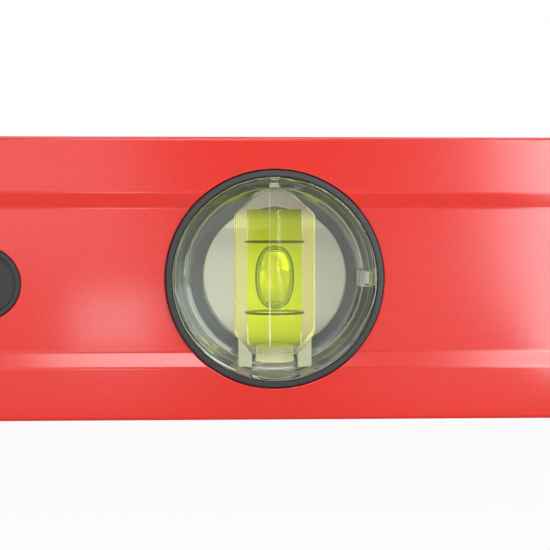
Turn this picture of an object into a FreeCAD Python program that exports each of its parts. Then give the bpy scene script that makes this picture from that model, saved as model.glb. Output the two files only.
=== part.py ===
"""Box-beam spirit level with two plumb windows and a centre window read from above.

Millimetres. X runs along the level, Y through its thickness with the front face at -Y, Z up.
The origin is the middle of the measuring face, on which the level stands.
Each vial is drawn standing on its sealed end, with its bubble towards the front, and then placed.
"""
import FreeCAD, Part
import math
import os

Vector = FreeCAD.Vector
CENTRE = Vector(0, 0, 0)
ALONG = Vector(1, 0, 0)
THROUGH = Vector(0, 1, 0)
UP = Vector(0, 0, 1)

# Beam: an aluminium extrusion with flat rails, sloped bands, a recessed web and three chambers
LENGTH = 600.0
HEIGHT = 60.0
THICKNESS = 25.0
TOP_RAIL = 11.7
BASE_RAIL = 11.25
SLOPE_BAND = 3.3
WEB_RECESS = 1.2
EDGE_RADIUS = 0.9
CREASE_RADIUS = 2.0
SIDE_WALL = 1.8
RAIL_WALL = 2.6
RIB_WALL = 1.8
CHAMBER_RADIUS = 1.0

# End caps
CAP_FLANGE = 4.0
CAP_INSET = 0.25
CAP_FIT = 0.1
CAP_SPIGOT = 16.0
CAP_SPIGOT_WALL = 2.0
CAP_EDGE = 0.8
CAP_GROOVE = 0.6
CAP_GROOVE_WIDTH = 1.4

# Hang hole near the left end, closed by a dished plug on each face
HANG_FROM_END = 38.6
HANG_DROP = 0.8
PLUG_RADIUS = 7.75
PLUG_FIT = 0.05
PLUG_SET = 0.15
PLUG_RIM = 1.0
PLUG_DISH = 1.5
PLUG_FLOOR = 1.4
PLUG_SKIRT = 6.0
PLUG_BEAD = 0.35
PLUG_BEAD_LENGTH = 0.9

# Vials: a clear block round a barrel-shaped bore, which is closed by a stepped plug at its foot
BORE_RADIUS = 6.3
BORE_SAG = 0.3
BORE_HALF = 14.9
CENTRE_BORE_HALF = 18.0
BLOCK_SIDE_WALL = 2.4
BLOCK_FACE_WALL = 1.2
BLOCK_FOOT_WALL = 1.5
BLOCK_SHOULDER_DROP = 1.15
BLOCK_SHOULDER_RADIUS = 1.4
BLOCK_ROOF_DEGREES = 42.0
BLOCK_ROOF_RADIUS = 7.0
BLOCK_TAPER = 4.4
BLOCK_TAPER_RADIUS = 2.5
BLOCK_FOOT_RADIUS = 0.5
CENTRE_BLOCK_END = 2.4
CENTRE_BLOCK_RADIUS = 1.2
DIMPLE_RADIUS = 3.8
DIMPLE_RISE = 0.8
NECK_RADIUS = 4.05
NECK_WALL = 0.95
SEAL_FIT = 0.04
SEAL_LIP = 0.65
SEAL_HEIGHT = 2.5
SEAL_BREAK = 0.4
LIQUID_FIT = 0.05
LINE_SPACING = 15.6
LINE_WIDTH = 0.5
LINE_DEPTH = 0.4
LINE_FIT = 0.03
BUBBLE_LENGTH = 13.8
BUBBLE_DIAMETER = 8.6
BUBBLE_END_RADIUS = 3.3
BUBBLE_FILM = 0.3
BUBBLE_SKIN = 0.1

# Plumb units, one near each end, seen through both faces and as wide as the vial needs
UNIT_FROM_END = 100.0
WINDOW_FIT = 0.1
RING_SET = 0.1
RING_FACE = 1.5
RING_LIP = 1.0
RING_WALL = 0.95
RING_BREAK = 0.3
HALF_GAP = 0.02
LENS_FIT = 0.06
LENS_SET = 0.35
LENS_THICKNESS = 1.6
LENS_RIM = 1.3
LENS_LEDGE = 0.55
SKIRT_GAP = 0.7
SKIRT_TAPER = 1.5
SKIRT_WALL = 1.1
TOP_LUG_WIDTH = 2.2
SIDE_LUG_WIDTH = 3.2
TOP_LUG_REACH = 1.7
SIDE_LUG_REACH = 3.0
SHELF_GAP = 0.3
SHELF_THICKNESS = 0.9
FOOT_GAP = 0.24
FOOT_EDGE = 0.8
FOOT_SET = 3.2

# Carrier ring in the middle of a plumb unit
CARRIER_GAP = 1.2
CARRIER_WIDTH = 2.65
CARRIER_BEAD = 4.4
CARRIER_THICKNESS = 3.0
CARRIER_BREAK = 0.6
POCKET_FIT = 0.06

# Centre unit, in a slot that is cut down through the top rail
SLOT_RADIUS = 3.0
HOUSING_FIT = 0.1
HOUSING_SET = 0.1
HOUSING_END_WALL = 4.84
HOUSING_FLOOR = 3.69
SIDE_WINDOW_LENGTH = 34.0
SIDE_WINDOW_HEIGHT = 11.5
SIDE_WINDOW_RADIUS = 3.0
COVER_THICKNESS = 2.0
COVER_RADIUS = 2.0
COVER_LEDGE = 1.2
COVER_FIT = 0.1
COVER_GAP = 0.2
REFLECTOR_THICKNESS = 0.8
REFLECTOR_FIT = 0.05

# Worked out: beam and vials
HALF = THICKNESS / 2
WEB = HALF - WEB_RECESS
CHAMBER_HALF = WEB - SIDE_WALL
UNIT_X = LENGTH / 2 - UNIT_FROM_END
WINDOW_Z = HEIGHT / 2
HANG_X = -LENGTH / 2 + HANG_FROM_END
HANG_Z = HEIGHT / 2 - HANG_DROP
BLOCK_HALF_WIDTH = BORE_RADIUS + BLOCK_SIDE_WALL
BLOCK_DEPTH = 2 * (BORE_RADIUS + BLOCK_FACE_WALL)
BLOCK_FOOT = BORE_HALF + BLOCK_FOOT_WALL
CENTRE_FOOT = CENTRE_BORE_HALF + CENTRE_BLOCK_END
SEAL_RADIUS = NECK_RADIUS + SEAL_LIP

# Worked out: plumb unit, from the vial outwards
SEALED_END = BLOCK_FOOT + SEAL_HEIGHT
SHELF_Z = -SEALED_END - SHELF_GAP
SKIRT_END = SEALED_END + SKIRT_GAP
SKIRT_START = SKIRT_END + SKIRT_TAPER
RING_OPENING = SKIRT_START + LENS_LEDGE
RING_RADIUS = RING_OPENING + RING_FACE
RING_BORE = RING_RADIUS - RING_WALL
RING_DEPTH = -HALF + RING_SET
LENS_FACE = -HALF + LENS_SET
LENS_BACK = LENS_FACE + LENS_THICKNESS
RIM_FACE = RING_DEPTH + RING_LIP + LENS_FIT
RIM_RADIUS = RING_BORE - LENS_FIT
SKIRT_REAR = -CARRIER_THICKNESS / 2 - HALF_GAP
BEAD_FACE = -CARRIER_BEAD / 2 - HALF_GAP
FOOT_FACE = LENS_BACK + FOOT_SET
FOOT_INNER = SEAL_RADIUS + POCKET_FIT + FOOT_GAP
FOOT_OUTER = BLOCK_HALF_WIDTH - FOOT_EDGE
CARRIER_BEAD_RADIUS = SKIRT_END - CARRIER_GAP
CARRIER_OPENING = CARRIER_BEAD_RADIUS - CARRIER_WIDTH

# Worked out: centre unit, from its cover down and from its vial outwards
COVER_TOP = HEIGHT - HOUSING_SET
COVER_SEAT = COVER_TOP - COVER_THICKNESS
CENTRE_VIAL_Z = COVER_SEAT - COVER_GAP - BLOCK_DEPTH / 2
POCKET_FLOOR = CENTRE_VIAL_Z - BLOCK_DEPTH / 2 - POCKET_FIT - REFLECTOR_THICKNESS - REFLECTOR_FIT
SLOT_FLOOR = POCKET_FLOOR - HOUSING_FLOOR - HOUSING_FIT
POCKET_END = CENTRE_FOOT + SEAL_HEIGHT + POCKET_FIT
POCKET_HALF_WIDTH = BLOCK_HALF_WIDTH + POCKET_FIT
SLOT_HALF = POCKET_END + HOUSING_END_WALL + HOUSING_FIT
COVER_HALF = POCKET_END + COVER_LEDGE
COVER_HALF_WIDTH = POCKET_HALF_WIDTH + COVER_LEDGE


def on_yz(u, v):
    return Vector(0, u, v)


def on_xz(u, v):
    return Vector(u, 0, v)


def on_xy(u, v):
    return Vector(u, v, 0)


def rounded_face(corners, plane):
    """Flat face whose corners are (u, v, radius), each rounded by a tangent arc."""
    points = [plane(u, v) for u, v, radius in corners]
    bends = []
    for i, (u, v, radius) in enumerate(corners):
        corner = points[i]
        back = (points[i - 1] - corner).normalize()
        ahead = (points[(i + 1) % len(points)] - corner).normalize()
        half_angle = back.getAngle(ahead) / 2
        reach = radius / math.tan(half_angle)
        inward = (back + ahead).normalize()
        middle = corner + inward * (radius / math.sin(half_angle) - radius)
        bends.append((corner + back * reach, middle, corner + ahead * reach, radius))
    edges = []
    for i, (start, middle, end, radius) in enumerate(bends):
        if radius > 0:
            edges.append(Part.Arc(start, middle, end).toShape())
        edges.append(Part.makeLine(end, bends[(i + 1) % len(bends)][0]))
    return Part.Face(Part.Wire(edges))


def rectangle(u0, v0, u1, v1, radius):
    return [(u0, v0, radius), (u1, v0, radius), (u1, v1, radius), (u0, v1, radius)]


def prism(corners, plane, direction, start, end):
    face = rounded_face(corners, plane)
    face.translate(direction * start)
    return face.extrude(direction * (end - start))


def turned(points, plane, axis):
    """Solid of revolution of a closed straight-sided section."""
    corners = [plane(u, v) for u, v in points]
    return Part.Face(Part.makePolygon(corners + corners[:1])).revolve(CENTRE, axis, 360)


def mirrored_to_rear(shape):
    return shape.mirror(CENTRE, THROUGH)


def placed(shape, x, z):
    copy = shape.copy()
    copy.translate(Vector(x, 0, z))
    return copy


# Beam
def section_corners(inset, edge_radius, crease_radius):
    """Outline of the beam's section, drawn in by inset all round."""
    half = HALF - inset
    web = WEB - inset
    low = [inset, BASE_RAIL, BASE_RAIL + SLOPE_BAND]
    high = [HEIGHT - TOP_RAIL - SLOPE_BAND, HEIGHT - TOP_RAIL, HEIGHT - inset]
    right = [(half, low[0], edge_radius), (half, low[1], crease_radius), (web, low[2], crease_radius),
             (web, high[0], crease_radius), (half, high[1], crease_radius), (half, high[2], edge_radius)]
    left = [(-u, v, radius) for u, v, radius in reversed(right)]
    return right + left


def chamber_corners(shrink):
    """The beam's three chambers, each drawn in by shrink: base rail, middle and top rail."""
    rail_half = HALF - SIDE_WALL - shrink
    mid_half = CHAMBER_HALF - shrink
    levels = [(RAIL_WALL, BASE_RAIL, rail_half),
              (BASE_RAIL + RIB_WALL, HEIGHT - TOP_RAIL - RIB_WALL, mid_half),
              (HEIGHT - TOP_RAIL, HEIGHT - RAIL_WALL, rail_half)]
    return [rectangle(-half, low + shrink, half, high - shrink, CHAMBER_RADIUS)
            for low, high, half in levels]


def make_beam():
    start = -LENGTH / 2 + CAP_FLANGE
    end = LENGTH / 2 - CAP_FLANGE
    beam = prism(section_corners(0, EDGE_RADIUS, CREASE_RADIUS), on_yz, ALONG, start, end)
    chambers = [prism(corners, on_yz, ALONG, start, end) for corners in chamber_corners(0)]
    window = Part.makeCylinder(RING_RADIUS + WINDOW_FIT, THICKNESS, Vector(0, -HALF, 0), THROUGH)
    windows = [placed(window, side * UNIT_X, WINDOW_Z) for side in (-1, 1)]
    hang = Part.makeCylinder(PLUG_RADIUS + PLUG_FIT, THICKNESS, Vector(HANG_X, -HALF, HANG_Z), THROUGH)
    slot = prism(slot_corners(0, HEIGHT + EDGE_RADIUS), on_xz, THROUGH, -HALF, HALF)
    return beam.cut(chambers + windows + [hang, slot])


def slot_corners(shrink, top):
    """The centre slot drawn in by shrink, rounded at its floor and open at the height top."""
    half = SLOT_HALF - shrink
    floor = SLOT_FLOOR + shrink
    return [(-half, floor, SLOT_RADIUS), (half, floor, SLOT_RADIUS), (half, top, 0), (-half, top, 0)]


# End caps
def make_end_cap():
    """Right-hand cap: a rounded flange with a grip groove, and a hollow spigot in each chamber."""
    inner_face = LENGTH / 2 - CAP_FLANGE
    flange = prism(section_corners(CAP_INSET, EDGE_RADIUS, CREASE_RADIUS), on_yz, ALONG,
                   inner_face, LENGTH / 2)
    rim = [edge for edge in flange.Edges if edge.BoundBox.XMin > LENGTH / 2 - 1e-6]
    flange = flange.makeFillet(CAP_EDGE, rim)
    groove_middle = inner_face + CAP_EDGE + CAP_GROOVE_WIDTH / 2
    band = prism(section_corners(CAP_INSET - 1, EDGE_RADIUS + 1, CREASE_RADIUS), on_yz, ALONG,
                 groove_middle - CAP_GROOVE_WIDTH / 2, groove_middle + CAP_GROOVE_WIDTH / 2)
    core = prism(section_corners(CAP_INSET + CAP_GROOVE, EDGE_RADIUS, CREASE_RADIUS), on_yz, ALONG,
                 inner_face, LENGTH / 2)
    flange = flange.cut(band.cut(core))
    outer = [prism(corners, on_yz, ALONG, inner_face - CAP_SPIGOT, inner_face)
             for corners in chamber_corners(CAP_FIT)]
    hollow = [prism(corners, on_yz, ALONG, inner_face - CAP_SPIGOT, inner_face)
              for corners in chamber_corners(CAP_FIT + CAP_SPIGOT_WALL)]
    return flange.fuse(outer).cut(hollow).removeSplitter()


# Hang-hole plugs
def make_hang_plug():
    """Front plug, flush in the web: a rim, a dished floor and a skirt with a snap bead."""
    face = -WEB + PLUG_SET
    rim = PLUG_RADIUS - PLUG_RIM
    floor = face + PLUG_DISH
    bead = -CHAMBER_HALF + PLUG_FIT
    bead_end = bead + PLUG_BEAD_LENGTH
    inner_end = face + PLUG_SKIRT
    plug = turned([(0, floor), (rim - PLUG_DISH / 4, floor), (rim, face + PLUG_RIM / 4), (rim, face),
                   (PLUG_RADIUS - PLUG_RIM / 4, face), (PLUG_RADIUS, face + PLUG_RIM / 4),
                   (PLUG_RADIUS, bead),
                   (PLUG_RADIUS + PLUG_BEAD, bead), (PLUG_RADIUS, bead_end), (PLUG_RADIUS, inner_end),
                   (rim, inner_end), (rim, floor + PLUG_FLOOR), (0, floor + PLUG_FLOOR)], on_xy, THROUGH)
    return placed(plug, HANG_X, HANG_Z)


# Plumb unit
def make_ring():
    """Front half of the black sleeve: a narrow visible face, a lip for the lens and a thin wall."""
    back = -HALF_GAP / 2
    lip_back = RING_DEPTH + RING_LIP
    return turned([(RING_OPENING + RING_BREAK, RING_DEPTH), (RING_RADIUS - RING_BREAK, RING_DEPTH),
                   (RING_RADIUS, RING_DEPTH + RING_BREAK), (RING_RADIUS, back), (RING_BORE, back),
                   (RING_BORE, lip_back), (RING_OPENING, lip_back),
                   (RING_OPENING, RING_DEPTH + RING_BREAK)],
                  on_xy, THROUGH)


def lens_cavity():
    """The tapered space inside a lens, from its window to the end of its skirt."""
    return turned([(0, LENS_BACK), (SKIRT_START, LENS_BACK), (SKIRT_END, SKIRT_REAR), (0, SKIRT_REAR)],
                  on_xy, THROUGH)


def lug(reach, width, degrees):
    """Locating lug on the inside of the skirt, at an angle counted from +X towards +Z."""
    depth = BEAD_FACE - LENS_BACK
    block = Part.makeBox(reach, depth, width, Vector(SKIRT_START - reach, LENS_BACK, -width / 2))
    return block.rotate(CENTRE, THROUGH, -degrees)


def make_lens():
    """Front lens: a window set in the ring, a tapered skirt, two lugs and a shelf with two feet."""
    opening = RING_OPENING - LENS_FIT
    outer_end = SKIRT_END + SKIRT_WALL
    shell = turned([(0, LENS_FACE), (opening, LENS_FACE), (opening, RIM_FACE), (RIM_RADIUS, RIM_FACE),
                    (RIM_RADIUS, RIM_FACE + LENS_RIM), (outer_end, SKIRT_REAR), (SKIRT_END, SKIRT_REAR),
                    (SKIRT_START, LENS_BACK), (0, LENS_BACK)], on_xy, THROUGH)
    depth = BEAD_FACE - FOOT_FACE
    shelf = Part.makeBox(2 * SKIRT_START, depth, SHELF_THICKNESS,
                         Vector(-SKIRT_START, FOOT_FACE, SHELF_Z - SHELF_THICKNESS))
    foot_top = SHELF_Z + SHELF_GAP + SEAL_HEIGHT + BLOCK_TAPER
    foot = Part.makeBox(FOOT_OUTER - FOOT_INNER, depth, foot_top - SHELF_Z,
                        Vector(FOOT_INNER, FOOT_FACE, SHELF_Z))
    feet = [foot, foot.mirror(CENTRE, ALONG)]
    lugs = [lug(TOP_LUG_REACH, TOP_LUG_WIDTH, 90), lug(SIDE_LUG_REACH, SIDE_LUG_WIDTH, 0)]
    inside = shelf.fuse(feet + lugs)
    inside = inside.common(lens_cavity()).cut(vial_space())
    return shell.fuse(inside)


def make_carrier():
    """Clear ring clamped between the two skirts, with a pocket that holds the vial."""
    bead = CARRIER_BEAD / 2
    thin = CARRIER_THICKNESS / 2
    edge = CARRIER_OPENING + CARRIER_BREAK
    ring = turned([(CARRIER_OPENING, -bead + CARRIER_BREAK), (edge, -bead), (CARRIER_BEAD_RADIUS, -bead),
                   (CARRIER_BEAD_RADIUS, -thin), (RIM_RADIUS, -thin), (RIM_RADIUS, thin),
                   (CARRIER_BEAD_RADIUS, thin), (CARRIER_BEAD_RADIUS, bead), (edge, bead),
                   (CARRIER_OPENING, bead - CARRIER_BREAK)], on_xy, THROUGH)
    return ring.cut(vial_space())


# Vials
def plumb_outline():
    """Front outline of a plumb vial: straight sides, a rounded roof and a tapered foot."""
    shoulder = BORE_HALF - BLOCK_SHOULDER_DROP
    peak = shoulder + BLOCK_HALF_WIDTH * math.tan(math.radians(BLOCK_ROOF_DEGREES))
    right = [(NECK_RADIUS + NECK_WALL, -BLOCK_FOOT, BLOCK_FOOT_RADIUS),
             (BLOCK_HALF_WIDTH, -BLOCK_FOOT + BLOCK_TAPER, BLOCK_TAPER_RADIUS),
             (BLOCK_HALF_WIDTH, shoulder, BLOCK_SHOULDER_RADIUS)]
    left = [(-u, v, radius) for u, v, radius in reversed(right)]
    return rounded_face(right + [(0, peak, BLOCK_ROOF_RADIUS)] + left, on_xz)


def centre_outline():
    """Outline of the longer centre vial: a plain block with eased corners."""
    return rounded_face(rectangle(-BLOCK_HALF_WIDTH, -CENTRE_FOOT, BLOCK_HALF_WIDTH, CENTRE_FOOT,
                                  CENTRE_BLOCK_RADIUS), on_xz)


def vial_block(outline, grow):
    """The solid block of a vial, or with grow the pocket that takes it."""
    face = outline.makeOffset2D(grow) if grow else outline.copy()
    depth = BLOCK_DEPTH + 2 * grow
    face.translate(THROUGH * (-depth / 2))
    return face.extrude(THROUGH * depth)


def vial_space():
    """Room for a plumb vial and its sealing plug in the pieces round it."""
    top = -BLOCK_FOOT + BLOCK_FOOT_RADIUS
    low = -BLOCK_FOOT - SEAL_HEIGHT - POCKET_FIT
    seal = Part.makeCylinder(SEAL_RADIUS + POCKET_FIT, top - low, Vector(0, 0, low), UP)
    return vial_block(plumb_outline(), POCKET_FIT).fuse(seal)


def bore_radius(z, half):
    """Radius of the barrel-shaped bore at height z, from its arc."""
    arc_radius = (half ** 2 + BORE_SAG ** 2) / (2 * BORE_SAG)
    return BORE_RADIUS - arc_radius + math.sqrt(arc_radius ** 2 - z ** 2)


def barrel(half, shrink, dimple):
    """The bore as a solid, drawn in by shrink, with or without the domed dimple above its flat end."""
    end = half - shrink
    low = Vector(bore_radius(half, half) - shrink, 0, -end)
    middle = Vector(BORE_RADIUS - shrink, 0, 0)
    high = Vector(low.x, 0, end)
    edges = [Part.makeLine(Vector(0, 0, -end), low), Part.Arc(low, middle, high).toShape()]
    if dimple:
        rim = Vector(DIMPLE_RADIUS, 0, end)
        crown = Vector(0, 0, end + DIMPLE_RISE)
        dome = (DIMPLE_RADIUS ** 2 + DIMPLE_RISE ** 2) / (2 * DIMPLE_RISE)
        lean = math.asin(DIMPLE_RADIUS / dome) / 2
        between = Vector(dome * math.sin(lean), 0, crown.z - dome + dome * math.cos(lean))
        edges += [Part.makeLine(high, rim), Part.Arc(rim, between, crown).toShape()]
    else:
        crown = Vector(0, 0, end)
        edges.append(Part.makeLine(high, crown))
    edges.append(Part.makeLine(crown, Vector(0, 0, -end)))
    return Part.Face(Part.Wire(edges)).revolve(CENTRE, UP, 360)


def bubble_shape(skin):
    """Oval bubble against the front of the bore, grown by skin: round ends and tangent side arcs."""
    tip = BUBBLE_LENGTH / 2 + skin
    waist = BUBBLE_DIAMETER / 2 + skin
    end = BUBBLE_END_RADIUS + skin
    end_centre = tip - end
    side = (end_centre ** 2 + waist ** 2 - end ** 2) / (2 * (waist - end))
    lean = math.atan2(end_centre, side - waist)
    join = Vector(end * math.cos(lean), 0, end_centre + end * math.sin(lean))
    crown = lean + (math.pi / 2 - lean) / 2
    shoulder = Vector(end * math.cos(crown), 0, end_centre + end * math.sin(crown))
    top = Vector(0, 0, tip)
    outline = [Part.Arc(Vector(0, 0, -tip), Vector(shoulder.x, 0, -shoulder.z),
                        Vector(join.x, 0, -join.z)).toShape(),
               Part.Arc(Vector(join.x, 0, -join.z), Vector(waist, 0, 0), join).toShape(),
               Part.Arc(join, shoulder, top).toShape(), Part.makeLine(top, Vector(0, 0, -tip))]
    bubble = Part.Face(Part.Wire(outline)).revolve(CENTRE, UP, 360)
    bubble.translate(THROUGH * -(BORE_RADIUS - BUBBLE_DIAMETER / 2 - BUBBLE_FILM))
    return bubble


def level_ring(z, half, fit):
    """One painted line as a thin ring let into the wall of the bore, or with fit its groove."""
    inner = bore_radius(abs(z) - LINE_WIDTH / 2, half) + LINE_FIT - fit
    outer = BORE_RADIUS + LINE_DEPTH + fit
    width = LINE_WIDTH + 2 * fit
    ring = Part.makeCylinder(outer, width).cut(Part.makeCylinder(inner, width))
    return placed(ring, 0, z - width / 2)


def vial_parts(outline, foot, bore_half):
    """The five pieces of one vial whose block ends at -foot and whose bore is 2 * bore_half long."""
    lines = (-LINE_SPACING / 2, LINE_SPACING / 2)
    neck = Part.makeCylinder(NECK_RADIUS, foot - bore_half + LIQUID_FIT, Vector(0, 0, -foot), UP)
    grooves = [level_ring(z, bore_half, 2 * LINE_FIT) for z in lines]
    body = vial_block(outline, 0).cut([barrel(bore_half, 0, True), neck] + grooves)
    seat = -foot - SEAL_FIT
    spigot = NECK_RADIUS - SEAL_FIT
    bottom = seat - SEAL_HEIGHT + SEAL_FIT
    seal = turned([(0, bottom), (SEAL_RADIUS - SEAL_BREAK, bottom),
                   (SEAL_RADIUS, seat - SEAL_HEIGHT + SEAL_BREAK), (SEAL_RADIUS, seat), (spigot, seat),
                   (spigot, -bore_half - SEAL_BREAK), (spigot - SEAL_BREAK, -bore_half), (0, -bore_half)],
                  on_xz, UP)
    return {
        "vial_body": body,
        "level_lines": Part.makeCompound([level_ring(z, bore_half, 0) for z in lines]),
        "liquid": barrel(bore_half, LIQUID_FIT, False).cut(bubble_shape(BUBBLE_SKIN)),
        "bubble": bubble_shape(0),
        "seal_plug": seal,
    }


# Centre unit
def laid_along(shape):
    """Lays a standing vial along X with its bubble upwards."""
    copy = shape.copy()
    copy.rotate(CENTRE, ALONG, -90)
    copy.rotate(CENTRE, UP, -90)
    return placed(copy, 0, CENTRE_VIAL_Z)


def make_centre_housing():
    """Black housing in the slot: a vial pocket, a seat for the cover and a window on each face."""
    half = HALF - HOUSING_SET
    body = prism(slot_corners(HOUSING_FIT, COVER_TOP), on_xz, THROUGH, -half, half)
    pocket = prism(rectangle(-POCKET_END, -POCKET_HALF_WIDTH, CENTRE_FOOT + POCKET_FIT, POCKET_HALF_WIDTH,
                             CENTRE_BLOCK_RADIUS), on_xy, UP, POCKET_FLOOR, COVER_TOP)
    seat = prism(rectangle(-COVER_HALF, -COVER_HALF_WIDTH, COVER_HALF, COVER_HALF_WIDTH, COVER_RADIUS),
                 on_xy, UP, COVER_SEAT, COVER_TOP)
    window = prism(rectangle(-SIDE_WINDOW_LENGTH / 2, CENTRE_VIAL_Z - SIDE_WINDOW_HEIGHT / 2,
                             SIDE_WINDOW_LENGTH / 2, CENTRE_VIAL_Z + SIDE_WINDOW_HEIGHT / 2,
                             SIDE_WINDOW_RADIUS), on_xz, THROUGH, -HALF, HALF)
    return body.cut([pocket, seat, window])


def make_cover():
    half_length = COVER_HALF - COVER_FIT
    half_width = COVER_HALF_WIDTH - COVER_FIT
    return prism(rectangle(-half_length, -half_width, half_length, half_width, COVER_RADIUS),
                 on_xy, UP, COVER_SEAT, COVER_TOP)


def make_reflector():
    """White strip on the floor of the pocket, under the vial."""
    half_width = POCKET_HALF_WIDTH - REFLECTOR_FIT
    return prism(rectangle(-CENTRE_FOOT, -half_width, CENTRE_FOOT, half_width, CENTRE_BLOCK_RADIUS),
                 on_xy, UP, POCKET_FLOOR, POCKET_FLOOR + REFLECTOR_THICKNESS)


def all_nodes():
    cap = make_end_cap()
    plug = make_hang_plug()
    nodes = {"beam": make_beam(), "right_end_cap": cap, "left_end_cap": cap.mirror(CENTRE, ALONG),
             "hang_plug_front": plug, "hang_plug_rear": mirrored_to_rear(plug)}
    ring = make_ring()
    lens = make_lens()
    plumb = vial_parts(plumb_outline(), BLOCK_FOOT, BORE_HALF)
    unit = {"ring_front": ring, "ring_rear": mirrored_to_rear(ring), "lens_front": lens,
            "lens_rear": mirrored_to_rear(lens), "carrier": make_carrier()}
    unit.update(plumb)
    for side, place in (("left", -1), ("right", 1)):
        for name, shape in unit.items():
            nodes[side + "_" + name] = placed(shape, place * UNIT_X, WINDOW_Z)
    nodes["centre_housing"] = make_centre_housing()
    nodes["centre_cover"] = make_cover()
    nodes["centre_reflector"] = make_reflector()
    centre = vial_parts(centre_outline(), CENTRE_FOOT, CENTRE_BORE_HALF)
    for name, shape in centre.items():
        nodes["centre_" + name] = laid_along(shape)
    return nodes


os.makedirs("parts", exist_ok=True)
for node_name, node_shape in all_nodes().items():
    node_shape.exportStep(os.path.join("parts", node_name + ".step"))
    print(node_name, "solids", len(node_shape.Solids), "volume", round(node_shape.Volume, 1),
          "valid", node_shape.isValid())
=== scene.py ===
"""Looks of a red box-beam spirit level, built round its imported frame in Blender.

All sizes are in millimetres and are turned to metres by MM. X runs along the level, the
photographed face looks towards -Y and the level stands on its measuring face at Z = 0.
NEAR is the distance in millimetres within which two places count as one.
"""
import math

import bmesh
import bpy
from mathutils import Matrix, Vector


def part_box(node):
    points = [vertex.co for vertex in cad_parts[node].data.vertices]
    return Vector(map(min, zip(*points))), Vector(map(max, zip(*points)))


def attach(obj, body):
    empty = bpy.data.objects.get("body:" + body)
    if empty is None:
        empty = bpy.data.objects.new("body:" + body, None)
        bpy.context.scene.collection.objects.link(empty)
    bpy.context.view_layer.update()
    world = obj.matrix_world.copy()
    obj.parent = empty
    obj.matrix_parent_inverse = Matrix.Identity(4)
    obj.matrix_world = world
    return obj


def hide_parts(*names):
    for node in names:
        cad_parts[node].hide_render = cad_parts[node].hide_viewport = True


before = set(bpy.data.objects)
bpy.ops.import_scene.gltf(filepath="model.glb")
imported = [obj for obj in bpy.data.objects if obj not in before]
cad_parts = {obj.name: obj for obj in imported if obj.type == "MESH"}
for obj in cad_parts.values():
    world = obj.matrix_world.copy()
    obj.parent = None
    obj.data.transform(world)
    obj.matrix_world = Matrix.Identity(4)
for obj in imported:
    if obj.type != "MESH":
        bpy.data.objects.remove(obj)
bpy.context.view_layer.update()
MM = 0.001
NEAR = 0.01

# Beam, as in the frame
FACE_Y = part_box("beam")[1].y / MM
BEAM_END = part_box("beam")[1].x / MM
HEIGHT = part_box("beam")[1].z / MM
TOP_RAIL = 11.7
BASE_RAIL = 11.25
SLOPE_BAND = 3.3
WEB_RECESS = 1.2
EDGE_RADIUS = 0.9
CREASE_RADIUS = 2.0
SIDE_WALL = 1.8
RAIL_WALL = 2.6
RIB_WALL = 1.8
CHAMBER_RADIUS = 1.0
HOLE_BREAK = 0.3
SLOT_HALF = 27.99
SLOT_FLOOR = 38.0
SLOT_RADIUS = 3.0

# Plumb units and hang hole
UNIT_X = 200.0
WINDOW_Z = 30.0
WINDOW_RADIUS = 23.25
HANG_X = -261.4
HANG_Z = 29.2
HANG_RADIUS = 7.8
CENTRE_VIAL_Z = 50.2

# Sleeve and lens of a plumb unit, front half: FACE, BACK and REAR are places in Y, SHELF_Z and FOOT_TOP in Z
SLEEVE_FACE = -12.4
SLEEVE_REAR = -0.05
SLEEVE_RADIUS = 23.15
SLEEVE_BORE = 22.2
SLEEVE_OPENING = 21.65
SLEEVE_LIP = 1.0
SLEEVE_ROUND = 0.3
SLEEVE_FLAT = 0.985
LENS_FACE = -12.15
LENS_BACK = -10.55
LENS_FIT = 0.06
LENS_RIM = 1.3
LENS_RIM_RADIUS = 22.14
LENS_ROUND = 0.18
SKIRT_START = 21.1
SKIRT_END = 19.6
SKIRT_WALL = 1.1
SKIRT_REAR = -1.52
TOP_LUG_REACH = 1.7
SIDE_LUG_REACH = 3.0
TOP_LUG_WIDTH = 2.2
SIDE_LUG_WIDTH = 3.2
INNER_REAR = -2.22
SHELF_Z = -19.2
SHELF_THICKNESS = 0.9
SHELF_FACE = -7.35
WALL_BITE = 0.3
LUG_BITE = 0.2
FOOT_BITE = 0.1
FOOT_INNER = 5.0
FOOT_OUTER = 7.9
FOOT_TOP = -11.9

# Carrier ring
CARRIER_BEAD = 2.2
CARRIER_HALF = 1.5
CARRIER_BEAD_RADIUS = 18.2
CARRIER_CONE_RADIUS = 19.5
CARRIER_STEP = 1.0
CARRIER_OPENING = 15.75
CARRIER_ROUND = 0.2

# Vials: the barrel-shaped bore, the block round it, its plug, lines and bubble
BORE_RADIUS = 6.3
BORE_SAG = 0.3
BORE_HALF = 14.9
CENTRE_BORE_HALF = 18.0
BLOCK_HALF_WIDTH = 8.7
BLOCK_HALF_DEPTH = 7.5
BLOCK_FOOT = 16.4
BLOCK_FOOT_HALF = 5.0
BLOCK_FOOT_RADIUS = 0.6
BLOCK_SHOULDER = 13.75
BLOCK_ROOF_DEGREES = 42
BLOCK_ROOF_RADIUS = 7.0
BLOCK_SHOULDER_RADIUS = 1.4
BLOCK_TAPER = 4.4
BLOCK_TAPER_RADIUS = 2.5
BLOCK_EDGE = 0.14
ROOM_GROWTH = (1.01, 1.005)
ROOM_FIT = 0.06
# Painted highlight streak on the front of a plumb vial
STREAK_X = -1.1
STREAK_WIDTH = 0.3
STREAK_LOW = -15.2
STREAK_HIGH = 19.0
STREAK_PROUD = 0.03
STREAK_SUNK = 0.02
NECK_RADIUS = 4.05
SEAL_RADIUS = 4.76
SEAL_END = 19.0
CENTRE_FOOT = 20.4
CENTRE_BLOCK_RADIUS = 1.2
DIMPLE_RADIUS = 3.8
DIMPLE_RISE = 0.8
LINE_SPACING = 15.6
LINE_WIDTH = 0.5
LINE_DEPTH = 0.4
LINE_PROUD = 0.1
LINE_ROUND = 0.08
BUBBLE_LENGTH = 13.8
BUBBLE_DIAMETER = 8.6
BUBBLE_FILM = 0.3
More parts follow.
